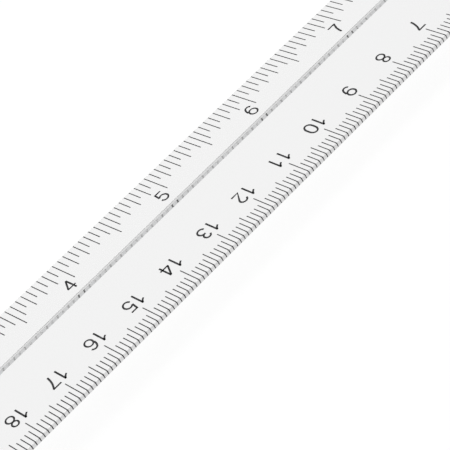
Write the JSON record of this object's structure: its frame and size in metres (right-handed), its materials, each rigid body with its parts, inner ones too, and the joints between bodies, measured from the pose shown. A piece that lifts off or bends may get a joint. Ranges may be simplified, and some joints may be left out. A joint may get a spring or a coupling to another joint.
{
  "type": "slide rule",
  "caption": "Closed-back plastic slide rule lying on its front: a measuring back with centimetre and inch edges, a sliding scale bar and a sprung clear cursor.",
  "frame": {"origin": "under the middle of the rule, on the surface it lies on with its front down", "axes": "+X along the rule towards rising inch numbers, +Y from the centimetre edge to the inch edge, +Z out of the measuring back"},
  "size_m": [0.28, 0.0326, 0.0077],
  "materials": {
    "plate_plastic": "smooth glossy white",
    "rail_plastic": "smooth white",
    "slide_plastic": "smooth white",
    "runner_plastic": "satin moulded",
    "clear_plastic": "polished clear",
    "spring_steel": "rolled",
    "screw_steel": "bright",
    "brass_pin": "drawn",
    "scale_ink": "printed black scales"
  },
  "bodies": {
    "stock": {"scale_plate_cm": "plate_plastic", "scale_plate_inch": "plate_plastic", "joint_strip": "clear_plastic", "left_reading_window": "clear_plastic", "right_reading_window": "clear_plastic", "lower_rail": "rail_plastic", "upper_rail": "rail_plastic", "well_plate": "spring_steel", "well_pin_lower_1": "brass_pin", "well_pin_lower_2": "brass_pin", "well_pin_lower_3": "brass_pin", "well_pin_lower_4": "brass_pin", "well_pin_upper_1": "brass_pin", "well_pin_upper_2": "brass_pin", "well_pin_upper_3": "brass_pin", "well_pin_upper_4": "brass_pin"},
    "slide": {"slide_bar": "slide_plastic"},
    "cursor": {"cursor_window": "clear_plastic", "cursor_runner_lower": "runner_plastic", "cursor_runner_upper": "runner_plastic", "cursor_spring": "spring_steel", "cursor_screw_lower_left": "screw_steel", "cursor_screw_lower_right": "screw_steel", "cursor_screw_upper_left": "screw_steel", "cursor_screw_upper_right": "screw_steel"}
  },
  "joints": [
    {"name": "slide_travel", "type": "slide", "parent": "stock", "child": "slide", "axis": [1, 0, 0], "range_m": [-0.25, 0.25]},
    {"name": "cursor_travel", "type": "slide", "parent": "stock", "child": "cursor", "axis": [1, 0, 0], "range_m": [-0.225, 0.025]}
  ]
}
